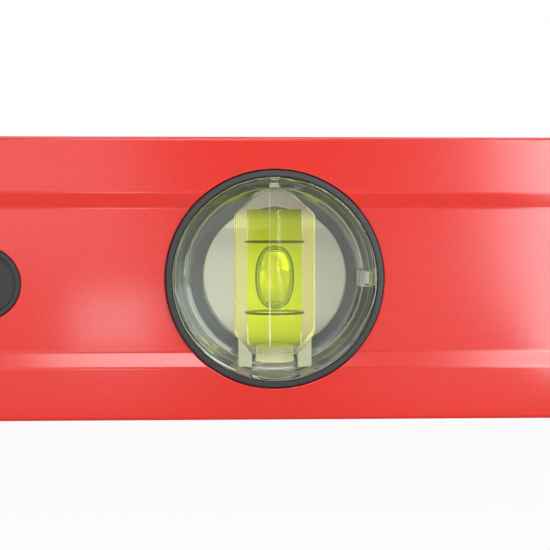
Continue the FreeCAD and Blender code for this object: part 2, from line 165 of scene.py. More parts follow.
BUBBLE_FULLNESS = 0.78
BUBBLE_SHOULDERS = 0.9
LIQUID_FIT = 0.03

# Fineness of round pieces
TURN_STEPS = 144
ROUND_STEPS = 3
EDGE_STEPS = 6
SLOT_STEPS = 8
RIM_STEPS = 2
CORNER_STEPS = 12
BARREL_STEPS = 6
BUBBLE_STEPS = (96, 64)
MERGE_DISTANCE = 0.002

# Angles in degrees: faces that meet flatter than these shade as one, and vial corners past SHARP are rounded
SMOOTH = 30
SMOOTH_CLEAR = 15
SMOOTH_BUBBLE = 60
SHARP = 50

# How far a tool that cuts runs past the piece
PAST = 1.0


# Modelling
def select_only(piece):
    """Makes a piece the only one that is selected, and active."""
    bpy.ops.object.select_all(action="DESELECT")
    piece.select_set(True)
    bpy.context.view_layer.objects.active = piece


def edit(piece, mode):
    """Enters edit mode on one piece, with all of it selected."""
    select_only(piece)
    bpy.ops.object.mode_set(mode="EDIT")
    bpy.ops.mesh.select_mode(type=mode)
    bpy.ops.mesh.select_all(action="SELECT")


def pick(piece, kind, wanted):
    """In edit mode, selects only the verts, edges or faces that are wanted."""
    mesh = bmesh.from_edit_mesh(piece.data)
    for group in (mesh.faces, mesh.edges, mesh.verts):
        for element in group:
            element.select = False
    for element in getattr(mesh, kind):
        if wanted(element):
            element.select_set(True)
    bmesh.update_edit_mesh(piece.data)


def close(piece):
    """Merges doubles, turns the faces outwards and leaves edit mode."""
    bpy.ops.mesh.select_all(action="SELECT")
    bpy.ops.mesh.remove_doubles(threshold=MERGE_DISTANCE * MM)
    bpy.ops.mesh.normals_make_consistent(inside=False)
    bpy.ops.object.mode_set(mode="OBJECT")
    return piece


def apply(piece, kind, **settings):
    """Adds a modifier and applies it."""
    select_only(piece)
    modifier = piece.modifiers.new(kind.title(), kind)
    for name, value in settings.items():
        setattr(modifier, name, value)
    bpy.ops.object.modifier_apply(modifier=modifier.name)


def combine(piece, tool, operation="DIFFERENCE", **settings):
    """Cuts the tool from the piece, or joins it on, and removes the tool."""
    apply(piece, "BOOLEAN", object=tool, operation=operation, solver="EXACT", **settings)
    bpy.data.objects.remove(tool)


def smooth(piece, degrees=SMOOTH):
    """Shades a piece smooth but for edges sharper than the angle, with flat faces kept flat."""
    select_only(piece)
    bpy.ops.object.shade_smooth_by_angle(angle=math.radians(degrees))
    apply(piece, "WEIGHTED_NORMAL", keep_sharp=True)


def block(name, low, high):
    """Box from one corner to the other."""
    bpy.ops.object.select_all(action="DESELECT")
    middle = [(a + b) / 2 * MM for a, b in zip(low, high)]
    size = [(b - a) * MM for a, b in zip(low, high)]
    bpy.ops.mesh.primitive_cube_add(size=1, location=middle, scale=size)
    piece = bpy.context.object
    piece.name = name
    bpy.ops.object.transform_apply(location=True, rotation=True, scale=True)
    return piece


def outline_ring(name, corners):
    """A ring of points set to the corners, which are places in mm."""
    bpy.ops.object.select_all(action="DESELECT")
    bpy.ops.mesh.primitive_circle_add(vertices=len(corners), radius=MM, fill_type="NOTHING")
    piece = bpy.context.object
    piece.name = name
    for vertex, corner in zip(piece.data.vertices, corners):
        vertex.co = Vector(corner) * MM
    return piece


def turned(name, outline, upright=False, rounding=0.0):
    """Lathe piece: an outline of (radius, place along the axis), rounded and spun about Y, or Z if upright.

    The outline of a solid starts and ends on the axis. A flat end starts half way out there and is
    closed by one round face, so that it is truly flat.
    """
    points = list(outline)
    solid = outline[0][0] == 0
    for end, beside in ((0, 1), (-1, -2)):
        if solid and outline[end][1] == outline[beside][1]:
            points[end] = (outline[beside][0] / 2, outline[end][1])
    corners = [Vector((r, 0, along) if upright else (r, along, 0)) for r, along in points]
    piece = outline_ring(name, corners)
    edit(piece, "VERT")

    def is_end(vert):
        return solid and any((vert.co / MM - corners[i]).length < NEAR / 10 for i in (0, -1))

    pick(piece, "edges", lambda e: all(is_end(v) for v in e.verts))
    bpy.ops.mesh.delete(type="EDGE")
    if rounding:
        pick(piece, "verts", lambda v: not is_end(v))
        bpy.ops.mesh.bevel(offset=rounding * MM, segments=ROUND_STEPS, affect="VERTICES")
    bpy.ops.mesh.select_all(action="SELECT")
    axis = (0, 0, 1) if upright else (0, 1, 0)
    bpy.ops.mesh.spin(steps=TURN_STEPS, angle=math.tau, center=(0, 0, 0), axis=axis)
    bpy.ops.mesh.select_all(action="SELECT")
    bpy.ops.mesh.remove_doubles(threshold=MERGE_DISTANCE * MM)
    bpy.ops.mesh.fill_holes(sides=0)
    return close(piece)


def copied(piece, name, shift=(0, 0, 0), to_rear=False):
    """A copy with its own mesh, moved by shift in mm after it is mirrored to the rear face."""
    copy = piece.copy()
    copy.data = piece.data.copy()
    copy.name = name
    bpy.context.collection.objects.link(copy)
    if to_rear:
        copy.data.transform(Matrix.Scale(-1, 4, (0, 1, 0)))
        copy.data.flip_normals()
    copy.data.transform(Matrix.Translation(Vector(shift) * MM))
    return copy


def dressed(piece, body, slot, *nodes):
    """Puts a piece on its body in place of its CAD nodes."""
    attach(piece, body)
    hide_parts(*nodes)
    return piece


# Materials
ACRYLIC_IOR = 1.49
FLUID_IOR = 1.475
AIR_IOR = 1 / 1.15  # from fluid into air, and gentler than the real step, so that the dye shows through


def linear(hex_colour):
    """Linear colour of an sRGB hex value."""
    parts = [int(hex_colour[i:i + 2], 16) / 255 for i in (1, 3, 5)]
    return [p / 12.92 if p <= 0.04045 else ((p + 0.055) / 1.055) ** 2.4 for p in parts] + [1.0]


WHITE = linear("#FFFFFF")


def add(tree, kind, inputs=None, **settings):
    """Adds one node: settings are its properties, and inputs take a value or another node's socket."""
    node = tree.nodes.new("ShaderNode" + kind)
    for name, value in settings.items():
        setattr(node, name, value)
    for name, value in (inputs or {}).items():
        if isinstance(value, bpy.types.NodeSocket):
            tree.links.new(value, node.inputs[name])
        else:
            node.inputs[name].default_value = value
    return node


def new_material(name):
    """An empty material, with its node tree and the Object coordinates that its patterns read."""
    material = bpy.data.materials.new(name)
    material.use_nodes = True
    tree = material.node_tree
    tree.nodes.clear()
    coordinates = add(tree, "TexCoord").outputs["Object"]
    return material, tree, coordinates


def show(tree, shader):
    """Sets the shader that a material shows."""
    add(tree, "OutputMaterial", {"Surface": shader})


def per_metre(size):
    """Noise scale whose features are about size mm wide."""
    return 1 / (size * MM)


def powder_coat():
    """Red powder coat, sprayed dry and baked: a satin skin with a fine orange peel.

    The tone drifts a little over the length, and the peel is darker and rougher in spots.
    """
    material, tree, place = new_material("powder_coat_red_satin")
    cloud = add(tree, "TexNoise", {"Vector": place, "Scale": per_metre(60), "Detail": 2.0})
    tone = add(tree, "MixRGB", {"Fac": cloud.outputs["Fac"], "Color1": linear("#F02B1C"),
                                "Color2": linear("#EA2718")})
    peel = add(tree, "TexNoise", {"Vector": place, "Scale": per_metre(0.65), "Detail": 3.0,
                                  "Roughness": 0.6})
    dust = add(tree, "MapRange", {"Value": peel.outputs["Fac"], "From Min": 0.35, "From Max": 0.65,
                                  "To Min": 0.0, "To Max": 0.32})
    grain = add(tree, "MixRGB", {"Fac": dust.outputs["Result"], "Color1": tone.outputs["Color"],
                                 "Color2": linear("#C92A22")})
    bump = add(tree, "Bump", {"Height": peel.outputs["Fac"], "Strength": 0.3, "Distance": 0.03 * MM})
    rough = add(tree, "MapRange", {"Value": peel.outputs["Fac"], "To Min": 0.15, "To Max": 0.2})
    paint = add(tree, "BsdfPrincipled", {"Base Color": grain.outputs["Color"],
                                         "Roughness": rough.outputs["Result"], "IOR": 1.6,
                                         "Normal": bump.outputs["Normal"]})
    show(tree, paint.outputs["BSDF"])
    return material


def moulded_plastic(name, colour, worn, grain, roughness):
    """Moulded plastic with a fine spark-eroded grain, a little shinier where it is handled."""
    material, tree, place = new_material(name)
    cloud = add(tree, "TexNoise", {"Vector": place, "Scale": per_metre(9), "Detail": 3.0})
    tone = add(tree, "MixRGB", {"Fac": cloud.outputs["Fac"], "Color1": linear(colour),
                                "Color2": linear(worn)})
    pits = add(tree, "TexNoise", {"Vector": place, "Scale": per_metre(grain), "Detail": 2.0})
    bump = add(tree, "Bump", {"Height": pits.outputs["Fac"], "Strength": 0.25, "Distance": 0.02 * MM})
    rough = add(tree, "MapRange", {"Value": cloud.outputs["Fac"], "To Min": roughness - 0.05,
                                   "To Max": roughness + 0.08})
    plastic = add(tree, "BsdfPrincipled", {"Base Color": tone.outputs["Color"],
                                           "Roughness": rough.outputs["Result"], "IOR": 1.5,
                                           "Normal": bump.outputs["Normal"]})
    show(tree, plastic.outputs["BSDF"])
    return material


def clear_acrylic(name, colour, ior, waves, roughness=0.0, clearness=1.0, glow=0.0):
    """Injection-moulded acrylic: nearly colourless, with faint flow waves.

    A moulded or bonded part of it is rougher and less clear, and may have a painted glow, an emission in its
    own colour.
    """
    material, tree, place = new_material(name)
    flow = add(tree, "TexNoise", {"Vector": place, "Scale": per_metre(2.5), "Detail": 1.0})
    bump = add(tree, "Bump", {"Height": flow.outputs["Fac"], "Strength": waves, "Distance": 0.02 * MM})
    # glow is painted light: the acrylic emits in its own colour
    acrylic = add(tree, "BsdfPrincipled", {"Base Color": linear(colour), "Roughness": roughness,
                                           "IOR": ior, "Transmission Weight": clearness,
                                           "Normal": bump.outputs["Normal"],
                                           "Emission Color": linear(colour), "Emission Strength": glow})
    show(tree, acrylic.outputs["BSDF"])
    return material


def along_vial(tree, place, axis="Z", middle=WINDOW_Z):
    """Distance in metres from the middle of a vial towards its head: up, or along X in the centre vial."""
    parts = add(tree, "SeparateXYZ", {"Vector": place})
    height = add(tree, "Math", {0: parts.outputs[axis], 1: middle * MM}, operation="SUBTRACT")
    return height.outputs["Value"]


def painted_glow_acrylic(name, *direction):
    """Acrylic round the dyed fluid: beside the bore it has a painted yellow-green glow and a yellow tint, and
    at roof and foot a darker grey tint as painted shade.
    """
    material, tree, place = new_material(name)
    # Painted glow and shade: emission and a yellow tint beside the bore, a darker tint away from it
    height = add(tree, "Math", {0: along_vial(tree, place, *direction)}, operation="ABSOLUTE")
    near = add(tree, "MapRange", {"Value": height.outputs["Value"], "From Min": 12.0 * MM,
                                  "From Max": 15.5 * MM, "To Min": 1.0, "To Max": 0.0},
               interpolation_type="SMOOTHSTEP")
    tint = add(tree, "MixRGB", {"Fac": near.outputs["Result"], "Color1": linear("#DAD2CF"),
                                "Color2": linear("#F4F2CC")})
    glow = add(tree, "Math", {0: near.outputs["Result"], 1: 0.11}, operation="MULTIPLY")
    acrylic = add(tree, "BsdfPrincipled", {"Base Color": tint.outputs["Color"], "Roughness": 0.0,
                                           "IOR": ACRYLIC_IOR, "Transmission Weight": 1.0,
                                           "Emission Color": linear("#FFFF5C"),
                                           "Emission Strength": glow.outputs["Value"]})
    show(tree, acrylic.outputs["BSDF"])
    return material


def level_fluid(name, *direction):
    """Mineral spirit with a fluorescent yellow-green dye: clear and strongly tinted, with a painted glow that
    is strongest low down.

    It is painted darker near its head as shade, and olive where it is seen at a flat angle along its sides.
    """
    material, tree, place = new_material(name)
    # Painted shade: the dye darkens towards the head of the vial
    head_shade = add(tree, "MapRange", {"Value": along_vial(tree, place, *direction), "From Min": 5 * MM,
                                   "From Max": 12 * MM})
    dye = add(tree, "MixRGB", {"Fac": head_shade.outputs["Result"], "Color1": linear("#EEF66A"),
                               "Color2": linear("#DDE65A")})
    steep = add(tree, "LayerWeight", {"Blend": 0.5})
    sides = add(tree, "MapRange", {"Value": steep.outputs["Facing"], "From Min": 0.84, "From Max": 0.96})
    dye = add(tree, "MixRGB", {"Fac": sides.outputs["Result"], "Color1": dye.outputs["Color"],
                               "Color2": linear("#98A23A")})
    see_through = add(tree, "BsdfTransparent", {"Color": dye.outputs["Color"]})
    # Painted glow: emission, strongest low in the vial and faint at its head
    depth = add(tree, "MapRange", {"Value": along_vial(tree, place, *direction), "From Min": -4 * MM,
                                   "From Max": 14 * MM, "To Min": 0.11, "To Max": 0.01})
    glow = add(tree, "Emission", {"Color": linear("#E4FF48"), "Strength": depth.outputs["Result"]})
    tinted = add(tree, "AddShader", {0: see_through.outputs["BSDF"], 1: glow.outputs["Emission"]})
    gloss = add(tree, "BsdfAnisotropic", {"Color": WHITE, "Roughness": 0.05})
    facing = add(tree, "Fresnel", {"IOR": 1.35})
    side = add(tree, "NewGeometry")
    front = add(tree, "Math", {0: facing.outputs["Fac"], 1: side.outputs["Backfacing"]},
                operation="SUBTRACT", use_clamp=True)
    fluid = add(tree, "MixShader", {"Fac": front.outputs["Value"], 1: tinted.outputs["Shader"],
                                    2: gloss.outputs["BSDF"]})
    show(tree, fluid.outputs["Shader"])
    return material


def air_bubble():
    """Air in the fluid: light turns aside at its steep edges, and a thin dark green outline is painted there
    as shade.
    """
    material, tree, _ = new_material("air_in_level_fluid")
    air = add(tree, "BsdfGlass", {"Color": linear("#FFFBF0"), "Roughness": 0.0, "IOR": AIR_IOR})
    # Painted shade: where the surface turns steep to the view, the tint runs down to a dark green outline
    steep = add(tree, "LayerWeight", {"Blend": 0.5})
    line = add(tree, "MapRange", {"Value": steep.outputs["Facing"], "From Min": 0.52, "From Max": 0.62})
    tint = add(tree, "MixRGB", {"Fac": line.outputs["Result"], "Color1": linear("#F6FAEC"),
                                "Color2": linear("#387C5C")})
    edge = add(tree, "BsdfTransparent", {"Color": tint.outputs["Color"]})
    rim = add(tree, "MapRange", {"Value": steep.outputs["Facing"], "From Min": 0.44, "From Max": 0.5})
    bubble = add(tree, "MixShader", {"Fac": rim.outputs["Result"], 1: air.outputs["BSDF"],
                                     2: edge.outputs["BSDF"]})
    show(tree, bubble.outputs["Shader"])
    return material


def highlight_streak():
    """Painted highlight: a frosted, glowing streak along the front of a vial, strong low down and fading
    upwards.
    """
    material, tree, place = new_material("acrylic_painted_highlight_streak")
    wear = add(tree, "TexNoise", {"Vector": place, "Scale": per_metre(4), "Detail": 1.0})
    height = add(tree, "MapRange", {"Value": along_vial(tree, place), "From Min": -6 * MM,
                                    "From Max": 4 * MM, "To Min": 0.66, "To Max": 0.07})
    share = add(tree, "Math", {0: height.outputs["Result"], 1: wear.outputs["Fac"], 2: 0.05},
                operation="MULTIPLY_ADD")
    clear = add(tree, "BsdfTransparent", {"Color": WHITE})
    frost = add(tree, "BsdfPrincipled", {"Base Color": WHITE, "Roughness": 0.35,
                                         "Emission Color": WHITE, "Emission Strength": 0.45})
    line = add(tree, "MixShader", {"Fac": share.outputs["Value"], 1: clear.outputs["BSDF"],
                                   2: frost.outputs["BSDF"]})
    show(tree, line.outputs["Shader"])
    return material


def printed_line():
    """Black enamel line baked into the bore, glossy and very slightly uneven."""
    material, tree, place = new_material("enamel_line_black")
    wear = add(tree, "TexNoise", {"Vector": place, "Scale": per_metre(0.8), "Detail": 2.0})
    tone = add(tree, "MixRGB", {"Fac": wear.outputs["Fac"], "Color1": linear("#0A0E0A"),
                                "Color2": linear("#1A201A")})
    enamel = add(tree, "BsdfPrincipled", {"Base Color": tone.outputs["Color"], "Roughness": 0.3})
    show(tree, enamel.outputs["BSDF"])
    return material


RED_PAINT = powder_coat()

# Sleeves, hang plugs and centre housing: charcoal ABS; a sleeve's eased edges are painted blacker as shade
# and its bore painted silver-grey as light
SLEEVE_PLASTIC = moulded_plastic("abs_moulded_charcoal", "#2C2526", "#342D2F", 0.25, 0.45)
SLEEVE_PAINTED_SHADE = moulded_plastic("abs_charcoal_painted_edge_shade", "#0C0B0C", "#141314", 0.25, 0.6)
SLEEVE_PAINTED_LIGHT = moulded_plastic("abs_charcoal_painted_bore_light", "#C6CACE", "#D0D4D8", 0.25, 0.3)

# End caps and the strip under the centre vial
CAP_PLASTIC = moulded_plastic("polypropylene_moulded_black", "#17181A", "#222426", 0.35, 0.5)
WHITE_PLASTIC = moulded_plastic("abs_moulded_white", "#DEDDD6", "#E6E5DF", 0.3, 0.4)

# Lens cups and plugs: polished acrylic, milkier in the thick feet, lugs and bonded plugs, and these three
# with a painted glow
LENS_ACRYLIC = clear_acrylic("acrylic_polished_lens", "#F8F9F7", ACRYLIC_IOR, 0.04)
RIB_ACRYLIC = clear_acrylic("acrylic_moulded_rib", "#F6F0CC", ACRYLIC_IOR, 0.1, 0.3, 0.3, 0.08)
LUG_ACRYLIC = clear_acrylic("acrylic_moulded_lug", "#F0F0E4", ACRYLIC_IOR, 0.1, 0.3, 0.15, 0.1)
PLUG_ACRYLIC = clear_acrylic("acrylic_bonded_plug", "#FCFCD8", ACRYLIC_IOR, 0.0, 0.15, 0.4, 0.15)

# Carrier ring: a polished flat, with a cone and bead that are lightly etched and tinted grey as painted
# shade, the bead darkest
CARRIER_ACRYLIC = clear_acrylic("acrylic_polished_carrier", "#F8F9F8", ACRYLIC_IOR, 0.08)
CONE_SHADE_ACRYLIC = clear_acrylic("acrylic_etched_cone_painted_shade", "#B8BABD", ACRYLIC_IOR, 0.1, 0.06)
BEAD_SHADE_ACRYLIC = clear_acrylic("acrylic_etched_bead_painted_shade", "#7F828A", ACRYLIC_IOR, 0.1, 0.12)

# Vials and what is in them, with a painted glow in the blocks and the fluid; light hardly bends where the
# fluid wets the bore
VIAL_ACRYLIC = painted_glow_acrylic("acrylic_polished_vial")
CENTRE_ACRYLIC = painted_glow_acrylic("acrylic_polished_centre_vial", "X", 0)
BORE_FACE = clear_acrylic("acrylic_bore_wetted", "#FFFFFF", ACRYLIC_IOR / FLUID_IOR, 0.0)
LEVEL_FLUID = level_fluid("dyed_level_fluid")
CENTRE_FLUID = level_fluid("dyed_level_fluid_centre", "X", 0)
AIR = air_bubble()
LINE_ENAMEL = printed_line()
# Painted highlight streak on the front of each plumb vial
HIGHLIGHT_STREAK = highlight_streak()


# Beam
def make_beam():
    """Painted extrusion: rails, sloped bands and recessed webs, chambers, windows, hang hole and slot."""
    beam = block("painted_beam", (-BEAM_END, -FACE_Y, 0), (BEAM_END, FACE_Y, HEIGHT))
    low, high = BASE_RAIL + SLOPE_BAND, HEIGHT - TOP_RAIL - SLOPE_BAND
    creases = (BASE_RAIL, low, high, HEIGHT - TOP_RAIL)
    edit(beam, "EDGE")
    for height in creases:
        bpy.ops.mesh.select_all(action="SELECT")
        bpy.ops.mesh.bisect(plane_co=(0, 0, height * MM), plane_no=(0, 0, 1))
    for side in (-1, 1):
        pick(beam, "verts", lambda v: v.co.y * side > 0 and low - 1 < v.co.z / MM < high + 1)
        bpy.ops.transform.translate(value=(0, -side * WEB_RECESS * MM, 0))

    def runs_along(edge, heights):
        ends = [v.co for v in edge.verts]
        level = abs(ends[0].z - ends[1].z) < 1e-6 and abs(ends[0].x - ends[1].x) > 1e-3
        return level and any(abs(ends[0].z / MM - h) < NEAR for h in heights)

    lean = math.atan2(WEB_RECESS, SLOPE_BAND)
    pick(beam, "edges", lambda e: runs_along(e, creases))
    bpy.ops.mesh.bevel(offset=CREASE_RADIUS * math.tan(lean / 2) * MM, segments=ROUND_STEPS)
    pick(beam, "edges", lambda e: runs_along(e, (0, HEIGHT)))
    bpy.ops.mesh.bevel(offset=EDGE_RADIUS * MM, segments=EDGE_STEPS)
    close(beam)

    rail_half = FACE_Y - SIDE_WALL
    web_half = FACE_Y - WEB_RECESS - SIDE_WALL
    for bottom, top, half in ((RAIL_WALL, BASE_RAIL, rail_half),
                              (BASE_RAIL + RIB_WALL, HEIGHT - TOP_RAIL - RIB_WALL, web_half),
                              (HEIGHT - TOP_RAIL, HEIGHT - RAIL_WALL, rail_half)):
        chamber = block("chamber", (-BEAM_END - PAST, -half, bottom), (BEAM_END + PAST, half, top))
        edit(chamber, "EDGE")
        pick(chamber, "edges", lambda e: abs(e.verts[0].co.x - e.verts[1].co.x) > 0.1)
        bpy.ops.mesh.bevel(offset=CHAMBER_RADIUS * MM, segments=ROUND_STEPS)
        close(chamber)
        combine(beam, chamber)
    slot = block("slot", (-SLOT_HALF, -FACE_Y - PAST, SLOT_FLOOR), (SLOT_HALF, FACE_Y + PAST, HEIGHT + PAST))
    edit(slot, "EDGE")
    pick(slot, "edges", lambda e: all(v.co.z < (SLOT_FLOOR + 1) * MM for v in e.verts)
         and abs(e.verts[0].co.y - e.verts[1].co.y) > 0.01)
    bpy.ops.mesh.bevel(offset=SLOT_RADIUS * MM, segments=SLOT_STEPS)
    close(slot)
    combine(beam, slot)
    holes = ((-UNIT_X, WINDOW_Z, WINDOW_RADIUS), (UNIT_X, WINDOW_Z, WINDOW_RADIUS),
             (HANG_X, HANG_Z, HANG_RADIUS))
    for x, z, radius in holes:
        bpy.ops.object.select_all(action="DESELECT")
        bpy.ops.mesh.primitive_cylinder_add(vertices=TURN_STEPS, radius=radius * MM,
                                            depth=3 * FACE_Y * MM, location=(x * MM, 0, z * MM),
                                            rotation=(math.pi / 2, 0, 0))
        combine(beam, bpy.context.object)

    def on_rim(edge):
        for x, z, radius in holes:
            if all(abs(math.hypot(v.co.x / MM - x, v.co.z / MM - z) - radius) < 2 * NEAR
                   and abs(v.co.y) / MM > FACE_Y - WEB_RECESS - 0.1 for v in edge.verts):
                return True
        return False

    edit(beam, "EDGE")
    pick(beam, "edges", on_rim)
    bpy.ops.mesh.bevel(offset=HOLE_BREAK * MM, segments=RIM_STEPS)
    close(beam)
    for vertex in beam.data.vertices:  # a bevel at the rims may stand proud by a hundredth
        vertex.co.y = max(-FACE_Y * MM, min(FACE_Y * MM, vertex.co.y))
    smooth(beam)
    beam.data.materials.append(RED_PAINT)
    return dressed(beam, "level", "red_paint", "beam")


# Plumb units
def make_sleeve():
    """Front half of a black sleeve: a narrow face with eased edges painted darker as shade, a lip and a thin
    wall whose bore is painted pale as light.
    """
    lip_back = SLEEVE_FACE + SLEEVE_LIP
    sleeve = turned("sleeve", [(SLEEVE_OPENING, SLEEVE_FACE), (SLEEVE_RADIUS, SLEEVE_FACE),
                               (SLEEVE_RADIUS, SLEEVE_REAR), (SLEEVE_BORE, SLEEVE_REAR),
                               (SLEEVE_BORE, lip_back), (SLEEVE_OPENING, lip_back)], rounding=SLEEVE_ROUND)
    smooth(sleeve)
    for finish in (SLEEVE_PLASTIC, SLEEVE_PAINTED_SHADE, SLEEVE_PAINTED_LIGHT):
        sleeve.data.materials.append(finish)
    # The bore's faces get the painted light, and faces that are not flat, the eased edges among them, get the
    # painted shade
    for face in sleeve.data.polygons:
        radius = math.hypot(face.center.x, face.center.z) / MM
        if radius < SLEEVE_BORE + 3 * NEAR and face.center.y > lip_back * MM:
            face.material_index = 2
        elif abs(face.normal.y) < SLEEVE_FLAT:
            face.material_index = 1
    return sleeve


def make_lens():
    """Front lens: a flat window with a tapered skirt behind it, two lugs and a shelf with two feet."""
    opening = SLEEVE_OPENING - LENS_FIT
    rim_face = SLEEVE_FACE + SLEEVE_LIP + LENS_FIT
    lens = turned("lens", [(0, LENS_FACE), (opening, LENS_FACE), (opening, rim_face),
                           (LENS_RIM_RADIUS, rim_face), (LENS_RIM_RADIUS, rim_face + LENS_RIM),
                           (SKIRT_END + SKIRT_WALL, SKIRT_REAR), (SKIRT_END, SKIRT_REAR),
                           (SKIRT_START, LENS_BACK), (0, LENS_BACK)], rounding=LENS_ROUND)
    lens.data.materials.append(LENS_ACRYLIC)
    inside = turned("inside", [(0, LENS_BACK - WALL_BITE), (SKIRT_START + WALL_BITE, LENS_BACK - WALL_BITE),
                               (SKIRT_END + WALL_BITE, SKIRT_REAR), (0, SKIRT_REAR)])
    reach = SKIRT_START + PAST
    foot_low, lug_face = SHELF_Z - FOOT_BITE, LENS_BACK - LUG_BITE
    bars = [block("shelf", (-reach, SHELF_FACE, SHELF_Z - SHELF_THICKNESS), (reach, INNER_REAR, SHELF_Z)),
            block("foot", (FOOT_INNER, SHELF_FACE, foot_low), (FOOT_OUTER, INNER_REAR, FOOT_TOP)),
            block("foot", (-FOOT_OUTER, SHELF_FACE, foot_low), (-FOOT_INNER, INNER_REAR, FOOT_TOP)),
            block("top_lug", (-TOP_LUG_WIDTH / 2, lug_face, SKIRT_START - TOP_LUG_REACH),
                  (TOP_LUG_WIDTH / 2, INNER_REAR, reach)),
            block("side_lug", (SKIRT_START - SIDE_LUG_REACH, lug_face, -SIDE_LUG_WIDTH / 2),
                  (reach, INNER_REAR, SIDE_LUG_WIDTH / 2))]
    for bar, finish in zip(bars, (LENS_ACRYLIC, RIB_ACRYLIC, RIB_ACRYLIC, LUG_ACRYLIC, LUG_ACRYLIC)):
        if bar.name.startswith("foot"):
            combine(bar, vial_room("room"))
        trim = copied(inside, "trim")
        combine(bar, trim, "INTERSECT")
        bar.data.materials.append(finish)
        combine(lens, bar, "UNION", material_mode="TRANSFER")
    bpy.data.objects.remove(inside)
    smooth(lens, SMOOTH_CLEAR)
    return lens


def make_carrier():
    """Clear ring in the middle of a unit: an etched bead and cone tinted grey as painted shade, a flat, and a
    pocket for the vial.
    """
    front = [(CARRIER_OPENING, -CARRIER_BEAD), (CARRIER_BEAD_RADIUS, -CARRIER_BEAD),
             (CARRIER_CONE_RADIUS, -CARRIER_HALF), (CARRIER_CONE_RADIUS + CARRIER_STEP, -CARRIER_HALF),
             (LENS_RIM_RADIUS, -CARRIER_HALF)]
    rear = [(radius, -y) for radius, y in reversed(front)]
    ring = turned("carrier", front + rear, rounding=CARRIER_ROUND)
    combine(ring, vial_room("room"))
    smooth(ring, SMOOTH_CLEAR)
    for finish in (CARRIER_ACRYLIC, BEAD_SHADE_ACRYLIC, CONE_SHADE_ACRYLIC):
        ring.data.materials.append(finish)
    # Bead and cone faces get the grey painted shade
    for face in ring.data.polygons:
        radius = math.hypot(face.center.x, face.center.z) / MM
        if radius < CARRIER_CONE_RADIUS:
            face.material_index = 1 if radius < CARRIER_BEAD_RADIUS - NEAR else 2
    return ring


def block_outline():
    """Front corners of a plumb vial with their radii, round from the foot."""
    peak = BLOCK_SHOULDER + BLOCK_HALF_WIDTH * math.tan(math.radians(BLOCK_ROOF_DEGREES))
    right = [(BLOCK_FOOT_HALF, -BLOCK_FOOT, BLOCK_FOOT_RADIUS),
             (BLOCK_HALF_WIDTH, BLOCK_TAPER - BLOCK_FOOT, BLOCK_TAPER_RADIUS),
             (BLOCK_HALF_WIDTH, BLOCK_SHOULDER, BLOCK_SHOULDER_RADIUS)]
    left = [(-x, z, radius) for x, z, radius in reversed(right)]
    return right + [(0, peak, BLOCK_ROOF_RADIUS)] + left


def outlined_block(name, corners, half_depth):
    """Solid from a front outline whose corners are (x, z, radius), centred on Y = 0."""
    piece = outline_ring(name, [(x, -half_depth, z) for x, z, radius in corners])
    edit(piece, "VERT")
    for i, (x, z, radius) in enumerate(corners):
        here = Vector((x, z))
        before = (Vector(corners[i - 1][:2]) - here).normalized()
        after = (Vector(corners[(i + 1) % len(corners)][:2]) - here).normalized()
        reach = radius / math.tan(before.angle(after) / 2)
        pick(piece, "verts", lambda v: (Vector((v.co.x, v.co.z)) / MM - here).length < NEAR)
        bpy.ops.mesh.bevel(offset=reach * MM, offset_type="OFFSET", segments=CORNER_STEPS, affect="VERTICES")
    bpy.ops.mesh.select_all(action="SELECT")
    bpy.ops.mesh.edge_face_add()
    bpy.ops.mesh.extrude_region_move(TRANSFORM_OT_translate={"value": (0, 2 * half_depth * MM, 0)})
    return close(piece)


def vial_room(name):
    """Room for a plumb vial and its plug in the pieces round it, at the vial's height in the unit."""
    grown = [(x * ROOM_GROWTH[0], z * ROOM_GROWTH[1], radius) for x, z, radius in block_outline()]
    room = outlined_block(name, grown, BLOCK_HALF_DEPTH + ROOM_FIT)
    plug = turned("plug_room", [(0, -SEAL_END), (SEAL_RADIUS, -SEAL_END), (SEAL_RADIUS, PAST - BLOCK_FOOT),
                               (0, PAST - BLOCK_FOOT)], upright=True)
    combine(room, plug, "UNION")
    return room


def bore_outline(half, shrink, dimple):
    """Half outline of the barrel-shaped bore, drawn in by shrink, with a dished head if it has a dimple."""
    radius = (half ** 2 + BORE_SAG ** 2) / (2 * BORE_SAG)
    heights = [half * i / BARREL_STEPS for i in range(-BARREL_STEPS, BARREL_STEPS + 1)]
    side = [(BORE_RADIUS - shrink - radius + math.sqrt(radius ** 2 - z ** 2), z) for z in heights]
    side[0] = (side[0][0], shrink - half)
    side[-1] = (side[-1][0], half - shrink)
    if not dimple:
        return [(0, shrink - half)] + side + [(0, half - shrink)]
    dome = (DIMPLE_RADIUS ** 2 + DIMPLE_RISE ** 2) / (2 * DIMPLE_RISE)
    spread = math.asin(DIMPLE_RADIUS / dome)
    angles = [spread * i / BARREL_STEPS for i in range(BARREL_STEPS, -1, -1)]
    crown = [(dome * math.sin(a), half + DIMPLE_RISE - dome + dome * math.cos(a)) for a in angles]
    return [(0, shrink - half)] + side + crown


def make_vial_body(name, body, half, foot, acrylic):
    """Bores a vial block and gives its polished edges a fine round."""
    edit(body, "EDGE")
    pick(body, "edges", lambda e: e.calc_face_angle(0) > math.radians(SHARP))
    bpy.ops.mesh.bevel(offset=BLOCK_EDGE * MM, segments=ROUND_STEPS)
    close(body)
    body.data.materials.append(acrylic)
    bore = turned("bore", bore_outline(half, 0, True), upright=True)
    neck = turned("neck", [(0, -foot - PAST), (NECK_RADIUS, -foot - PAST), (NECK_RADIUS, PAST - half),
                           (0, PAST - half)], upright=True)
    combine(bore, neck, "UNION")
    bore.data.materials.append(BORE_FACE)
    bore.data.materials.append(acrylic)
    for face in bore.data.polygons:
        if face.center.z > (half + NEAR) * MM:
            face.material_index = 1
    combine(body, bore, material_mode="TRANSFER")
    smooth(body, SMOOTH_CLEAR)
    body.name = name
    return body


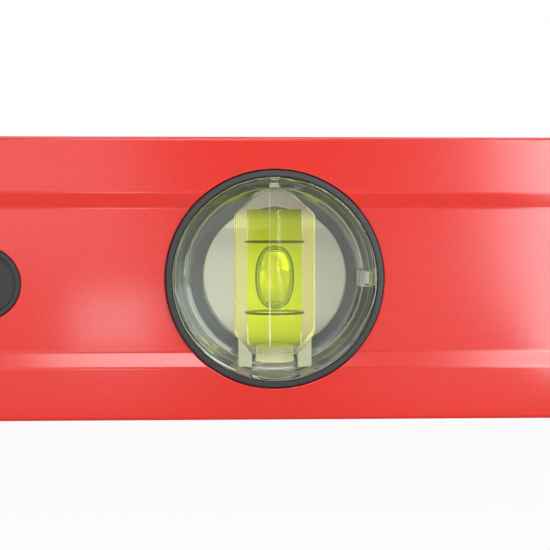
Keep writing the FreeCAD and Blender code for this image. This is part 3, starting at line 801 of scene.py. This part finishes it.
def add_highlight_streak(vial):
    """Joins the painted highlight streak to the front of a vial, a hair proud of its face."""
    left, right = STREAK_X - STREAK_WIDTH / 2, STREAK_X + STREAK_WIDTH / 2
    line = block("highlight_streak", (left, -BLOCK_HALF_DEPTH - STREAK_PROUD, STREAK_LOW),
                 (right, -BLOCK_HALF_DEPTH + STREAK_SUNK, STREAK_HIGH))
    line.data.materials.append(HIGHLIGHT_STREAK)
    select_only(vial)
    line.select_set(True)
    bpy.ops.object.join()


def make_liquid(half, fluid):
    """The fluid that fills a bore."""
    liquid = turned("liquid", bore_outline(half, LIQUID_FIT, False), upright=True)
    smooth(liquid)
    liquid.data.materials.append(fluid)
    return liquid


def make_bubble():
    """Oval bubble: a ball drawn out along the vial, with full shoulders, near the front of the bore."""
    bpy.ops.object.select_all(action="DESELECT")
    around, along = BUBBLE_STEPS
    bpy.ops.mesh.primitive_uv_sphere_add(segments=around, ring_count=along, radius=1)
    bubble = bpy.context.object
    bubble.name = "bubble"
    for vertex in bubble.data.vertices:
        x, y, z = vertex.co
        across = math.hypot(x, y)
        swell = across ** BUBBLE_FULLNESS / across if across > 1e-4 else 1.0
        tall = math.copysign(abs(z) ** BUBBLE_SHOULDERS, z)
        vertex.co = Vector((x * swell * BUBBLE_DIAMETER / 2, y * swell * BUBBLE_DIAMETER / 2,
                            tall * BUBBLE_LENGTH / 2)) * MM
    forward = BORE_RADIUS - BUBBLE_DIAMETER / 2 - BUBBLE_FILM
    bubble.data.transform(Matrix.Translation((0, -forward * MM, 0)))
    smooth(bubble, SMOOTH_BUBBLE)
    bubble.data.materials.append(AIR)
    return bubble


def make_lines():
    """The two painted lines of a vial, as thin rings in the wall of its bore."""
    radius = BORE_RADIUS - LINE_PROUD
    rings = []
    for middle in (-LINE_SPACING / 2, LINE_SPACING / 2):
        low, high = middle - LINE_WIDTH / 2, middle + LINE_WIDTH / 2
        rings.append(turned("line", [(radius, low), (radius + LINE_DEPTH, low), (radius + LINE_DEPTH, high),
                                     (radius, high)], upright=True, rounding=LINE_ROUND))
    select_only(rings[0])
    rings[1].select_set(True)
    bpy.ops.object.join()
    lines = bpy.context.object
    lines.name = "lines"
    smooth(lines)
    lines.data.materials.append(LINE_ENAMEL)
    return lines


def build_plumb_units():
    """Makes each piece of a plumb unit once, and sets copies of it in both windows and both faces."""
    sleeve, lens, carrier = make_sleeve(), make_lens(), make_carrier()
    outline = outlined_block("vial", block_outline(), BLOCK_HALF_DEPTH)
    vial = make_vial_body("vial", outline, BORE_HALF, BLOCK_FOOT, VIAL_ACRYLIC)
    add_highlight_streak(vial)
    liquid, bubble, lines = make_liquid(BORE_HALF, LEVEL_FLUID), make_bubble(), make_lines()
    for side, x in (("left", -UNIT_X), ("right", UNIT_X)):
        middle = (x, 0, WINDOW_Z)
        for face in ("front", "rear"):
            rear = face == "rear"
            dressed(copied(sleeve, f"{side}_{face}_sleeve", middle, rear), "level", "black_plastic",
                    f"{side}_ring_{face}")
            dressed(copied(lens, f"{side}_{face}_lens", middle, rear), "level", "clear_plastic",
                    f"{side}_lens_{face}")
        for piece, name, body, slot, node in (
                (carrier, "carrier_ring", "level", "clear_plastic", "carrier"),
                (vial, "vial", "level", "clear_plastic", "vial_body"),
                (liquid, "fluid", "level", "vial_liquid", "liquid"),
                (lines, "lines", "level", "black_paint", "level_lines"),
                (bubble, "air", side + "_bubble", "vial_air", "bubble")):
            dressed(copied(piece, f"{side}_{name}", middle), body, slot, f"{side}_{node}")
    for piece in (sleeve, lens, carrier, vial, liquid, lines, bubble):
        bpy.data.objects.remove(piece)


def laid_along(piece, name):
    """Lays a vial piece along the level, with its foot to the left and its front upwards."""
    turn = Matrix.Rotation(-math.pi / 2, 4, "Z") @ Matrix.Rotation(-math.pi / 2, 4, "X")
    piece.data.transform(Matrix.Translation((0, 0, CENTRE_VIAL_Z * MM)) @ turn)
    piece.name = name
    return piece


def build_centre_vial():
    """Builds the centre vial upright like a plumb vial, and lays it along the level."""
    corners = [(x * BLOCK_HALF_WIDTH, z * CENTRE_FOOT, CENTRE_BLOCK_RADIUS)
               for x, z in ((1, -1), (1, 1), (-1, 1), (-1, -1))]
    outline = outlined_block("vial", corners, BLOCK_HALF_DEPTH)
    vial = make_vial_body("vial", outline, CENTRE_BORE_HALF, CENTRE_FOOT, CENTRE_ACRYLIC)
    dressed(laid_along(vial, "centre_vial"), "level", "clear_plastic", "centre_vial_body")
    liquid = make_liquid(CENTRE_BORE_HALF, CENTRE_FLUID)
    dressed(laid_along(liquid, "centre_fluid"), "level", "vial_liquid", "centre_liquid")
    dressed(laid_along(make_lines(), "centre_lines"), "level", "black_paint", "centre_level_lines")
    dressed(laid_along(make_bubble(), "centre_air"), "centre_bubble", "vial_air", "centre_bubble")


def dress_cad(material, *names):
    """Gives CAD nodes that stay as they are their finish."""
    for name in names:
        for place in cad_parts[name].material_slots:
            place.material = material


make_beam()
build_plumb_units()
build_centre_vial()
dress_cad(CAP_PLASTIC, "left_end_cap", "right_end_cap")
dress_cad(SLEEVE_PLASTIC, "hang_plug_front", "hang_plug_rear", "centre_housing")
dress_cad(LENS_ACRYLIC, "centre_cover")
dress_cad(PLUG_ACRYLIC, "left_seal_plug", "right_seal_plug", "centre_seal_plug")
dress_cad(WHITE_PLASTIC, "centre_reflector")

# Stage: white paper, which shows through the glass as a light backdrop with painted shade that falls off to
# the right
FLOOR_SIZE = 12000
FLOOR_DROP = 0.05
BACKDROP_TONE = 0.74
BACKDROP_FALL = 0.22
BACKDROP_FAN = (-200, -230)
FAR_SHADE = 0.76
TABLE_SHADE = 0.1
SHADOW_SHARE = 0.08
WARM_PAPER = "#FFFEE4"
bpy.ops.object.select_all(action="DESELECT")
bpy.ops.mesh.primitive_plane_add(size=FLOOR_SIZE * MM, location=(0, 0, -FLOOR_DROP * MM))
floor = bpy.context.object
floor.name = "floor"


def white_floor():
    """White paper: seen as white, but for a small share of plain diffuse that keeps the shadow.

    Through the glass it shows painted shade: a backdrop graded in a fan and dimmer far away behind the level,
    and dim in front of it, as a table is. To rays off the paint it glows white where it is seen at a flat
    angle, a painted reflection, but for a dim patch of painted shade before the window.
    """
    material, tree, place = new_material("paper_white")
    fibres = add(tree, "TexNoise", {"Vector": place, "Scale": per_metre(0.6), "Detail": 2.0})
    tone = add(tree, "MixRGB", {"Fac": fibres.outputs["Fac"], "Color1": linear("#F4F4F4"),
                                "Color2": linear("#FAFAFA")})
    paper = add(tree, "BsdfDiffuse", {"Color": tone.outputs["Color"]})
    where = add(tree, "SeparateXYZ", {"Vector": place})
    path = add(tree, "LightPath")

    # Painted shade on the backdrop, fanning out from a place before the window: paler to the left and dimmer
    # far away
    across = add(tree, "Math", {0: where.outputs["X"], 1: BACKDROP_FAN[0] * MM}, operation="SUBTRACT")
    away = add(tree, "Math", {0: where.outputs["Y"], 1: BACKDROP_FAN[1] * MM}, operation="SUBTRACT")
    fan = add(tree, "Math", {0: across.outputs["Value"], 1: away.outputs["Value"]}, operation="DIVIDE")
    shade = add(tree, "MapRange", {"Value": fan.outputs["Value"], "From Min": -0.04, "From Max": 0.09,
                                   "To Min": BACKDROP_TONE, "To Max": BACKDROP_TONE - BACKDROP_FALL})
    far = add(tree, "MapRange", {"Value": where.outputs["Y"], "From Min": 350 * MM,
                                 "From Max": 1800 * MM, "To Min": 1.0, "To Max": FAR_SHADE})
    shade = add(tree, "Math", {0: shade.outputs["Result"], 1: far.outputs["Result"]}, operation="MULTIPLY")
    behind = add(tree, "MapRange", {"Value": where.outputs["Y"], "From Min": 20 * MM, "From Max": 230 * MM,
                                    "To Min": TABLE_SHADE, "To Max": shade.outputs["Value"]})
    spread = add(tree, "Math", {0: fan.outputs["Value"]}, operation="ABSOLUTE")
    warmth = add(tree, "MapRange", {"Value": spread.outputs["Value"], "From Min": 0.12, "From Max": 0.3,
                                    "To Min": 1.0, "To Max": 0.0})
    warm = add(tree, "MixRGB", {"Fac": warmth.outputs["Result"], "Color1": WHITE,
                                "Color2": linear(WARM_PAPER)})
    behind = add(tree, "MixRGB", {"Fac": 1.0, "Color1": behind.outputs["Result"],
                                  "Color2": warm.outputs["Color"]}, blend_type="MULTIPLY")

    # Painted reflection: what the paint mirrors, a ray that has bounced off it and not one that has passed
    # through glass; white at a flat angle, with a dim patch of painted shade before the window
    bounced = add(tree, "Math", {0: path.outputs["Is Glossy Ray"], 1: path.outputs["Is Transmission Ray"]},
                  operation="SUBTRACT", use_clamp=True)
    beside = add(tree, "Math", {0: across.outputs["Value"]}, operation="ABSOLUTE")
    beside = add(tree, "MapRange", {"Value": beside.outputs["Value"], "From Min": 5 * MM,
                                    "From Max": 42 * MM}, interpolation_type="SMOOTHSTEP")
    ahead = add(tree, "MapRange", {"Value": where.outputs["Y"], "From Min": -12 * MM, "From Max": -45 * MM,
                                   "To Min": 0.45, "To Max": 1.0})
    slant = add(tree, "LayerWeight", {"Blend": 0.5})
    painted_sheen = add(tree, "MapRange", {"Value": slant.outputs["Facing"], "From Min": 0.45, "From Max": 0.75})
    mirrored = bounced.outputs["Value"]
    for share in (beside, ahead, painted_sheen):
        product = add(tree, "Math", {0: mirrored, 1: share.outputs["Result"]}, operation="MULTIPLY")
        mirrored = product.outputs["Value"]

    plain = add(tree, "Math", {0: path.outputs["Is Camera Ray"], 1: bounced.outputs["Value"]},
                operation="MAXIMUM")
    tone = add(tree, "MixRGB", {"Fac": plain.outputs["Value"], "Color1": behind.outputs["Color"],
                                "Color2": WHITE})
    white = add(tree, "Emission", {"Color": tone.outputs["Color"], "Strength": 1.0})
    seen = add(tree, "Math", {0: path.outputs["Is Camera Ray"], 1: 1 - SHADOW_SHARE,
                              2: path.outputs["Is Transmission Ray"]}, operation="MULTIPLY_ADD")
    seen = add(tree, "Math", {0: seen.outputs["Value"], 1: mirrored}, operation="ADD")
    mix = add(tree, "MixShader", {"Fac": seen.outputs["Value"], 1: paper.outputs["BSDF"],
                                  2: white.outputs["Emission"]})
    show(tree, mix.outputs["Shader"])
    return material


floor.data.materials.append(white_floor())

# Light
AMBIENT = 0.35
GLOSS_LIGHT = 0.42
CARD_COLOUR = (0.6, 0.93, 1.0)


def white_studio():
    """White room: plain white to the camera, a dimmer even light, and through the glass a room graded by
    direction as painted light and shade.
    """
    world = bpy.data.worlds.new("white_studio")
    world.use_nodes = True
    sky = world.node_tree
    sky.nodes.clear()
    path = add(sky, "LightPath")
    ray = add(sky, "TexCoord").outputs["Generated"]

    # Straight through the window is the warm backdrop, and aside, where the skirts bend light, the room; both
    # are graded by direction as painted light and shade
    turn = add(sky, "VectorMath", {0: ray, 1: (0, 1, 0)}, operation="CROSS_PRODUCT")
    turn = add(sky, "VectorMath", {0: turn.outputs["Vector"]}, operation="LENGTH")
    aside = add(sky, "MapRange", {"Value": turn.outputs["Value"], "From Min": 0.12, "From Max": 0.3})
    lean = add(sky, "VectorMath", {0: ray, 1: (0.7, 0, 0.5)}, operation="DOT_PRODUCT")
    room = add(sky, "MapRange", {"Value": lean.outputs["Value"], "From Min": -0.18, "From Max": 0.14,
                                 "To Min": 0.04, "To Max": 1.15})
    falling = add(sky, "VectorMath", {0: ray, 1: (0.8, 0, 0.6)}, operation="DOT_PRODUCT")
    backdrop = add(sky, "MapRange", {"Value": falling.outputs["Value"], "From Min": -0.08,
                                     "From Max": 0.09, "To Min": BACKDROP_TONE + 0.05,
                                     "To Max": BACKDROP_TONE - 0.35})
    through = add(sky, "MixRGB", {"Fac": aside.outputs["Result"], "Color1": backdrop.outputs["Result"],
                                  "Color2": room.outputs["Result"]})
    ahead = add(sky, "Math", {0: path.outputs["Is Transmission Ray"], 1: aside.outputs["Result"]},
                operation="SUBTRACT", use_clamp=True)
    warm = add(sky, "MixRGB", {"Fac": ahead.outputs["Value"], "Color1": WHITE,
                               "Color2": linear(WARM_PAPER)})

    level = add(sky, "MapRange", {"Value": path.outputs["Is Glossy Ray"], "To Min": AMBIENT,
                                  "To Max": GLOSS_LIGHT})
    lit = add(sky, "MixRGB", {"Fac": path.outputs["Is Transmission Ray"],
                              "Color1": level.outputs["Result"], "Color2": through.outputs["Color"]})
    strength = add(sky, "MixRGB", {"Fac": path.outputs["Is Camera Ray"], "Color1": lit.outputs["Color"],
                                   "Color2": WHITE})
    glow = add(sky, "Background", {"Color": warm.outputs["Color"], "Strength": strength.outputs["Color"]})
    add(sky, "OutputWorld", {"Surface": glow.outputs["Background"]})
    return world


bpy.context.scene.world = white_studio()


def softbox(name, place, target, size, power):
    """Area lamp at a place in mm, aimed at its target, with its width and height in mm and power in watts."""
    data = bpy.data.lights.new(name, "AREA")
    data.shape = "RECTANGLE"
    data.size, data.size_y = [s * MM for s in size]
    data.energy = power
    lamp = bpy.data.objects.new(name, data)
    bpy.context.collection.objects.link(lamp)
    lamp.location = Vector(place) * MM
    lamp.rotation_euler = (Vector(target) - Vector(place)).to_track_quat("-Z", "Y").to_euler()
    lamp.visible_camera = False
    return lamp


def reflection_card(*settings):
    """Cool softbox that is seen in the paint and the glass, and leaves the even light as it is."""
    card = softbox(*settings)
    card.data.color = CARD_COLOUR
    card.visible_diffuse = False
    return card


WINDOW = (-UNIT_X, -FACE_Y, WINDOW_Z)
softbox("right_panel", (305, -900, 440), WINDOW, (420, 880), 5.9)
softbox("overhead", (-290, -700, 475), WINDOW, (260, 200), 1.15)

# The pale veils on the web and the bands: right of the window, on the table, to the left and from above
reflection_card("right_card", (182, -900, 280), (182, 0, 280), (240, 560), 2.8)
table_card = reflection_card("table_card", (76, -465, 0.5), (76, -465, 100), (220, 848), 4.1)
table_card.rotation_euler = (math.pi, 0, math.radians(12.8))
reflection_card("left_card", (-480, -900, 150), (-480, 0, 150), (300, 340), 0.5)
reflection_card("top_card", (-200, -80, 700), (-200, -12, 60), (900, 300), 3.4)

# The small soft spot on the web to the left of the window
near_lamp = reflection_card("near_lamp", (-251.7, -132, 6), (-234, -11.3, 19), (26, 26), 0.0078)
near_lamp.visible_transmission = False

# Light on the rear face, which is not seen in the glass or the paint
rear_panel = softbox("rear_panel", (-150, 900, 600), (0, FACE_Y, WINDOW_Z), (900, 500), 8.0)
rear_panel.visible_transmission = False
rear_panel.visible_glossy = False

# Camera: a little above the window and to its left, turned and tipped down as the photograph shows
EYE = (-202.5, -227.5, 42.3)
AIM = (-195.7, -12.5, 30.7)
camera_data = bpy.data.cameras.new("photo_camera")
camera_data.lens = 66.75
camera_data.shift_x = -0.0372
camera_data.shift_y = 0.0021
camera_data.clip_start = 0.01
camera = bpy.data.objects.new("photo_camera", camera_data)
bpy.context.collection.objects.link(camera)
camera.location = Vector(EYE) * MM
camera.rotation_euler = (Vector(AIM) - Vector(EYE)).to_track_quat("-Z", "Y").to_euler()

scene = bpy.context.scene
scene.camera = camera
scene.view_settings.view_transform = "Standard"

# A ray through a window crosses a score of clear faces and more
BOUNCES = 24
scene.cycles.max_bounces = BOUNCES
scene.cycles.transmission_bounces = BOUNCES
scene.cycles.transparent_max_bounces = BOUNCES
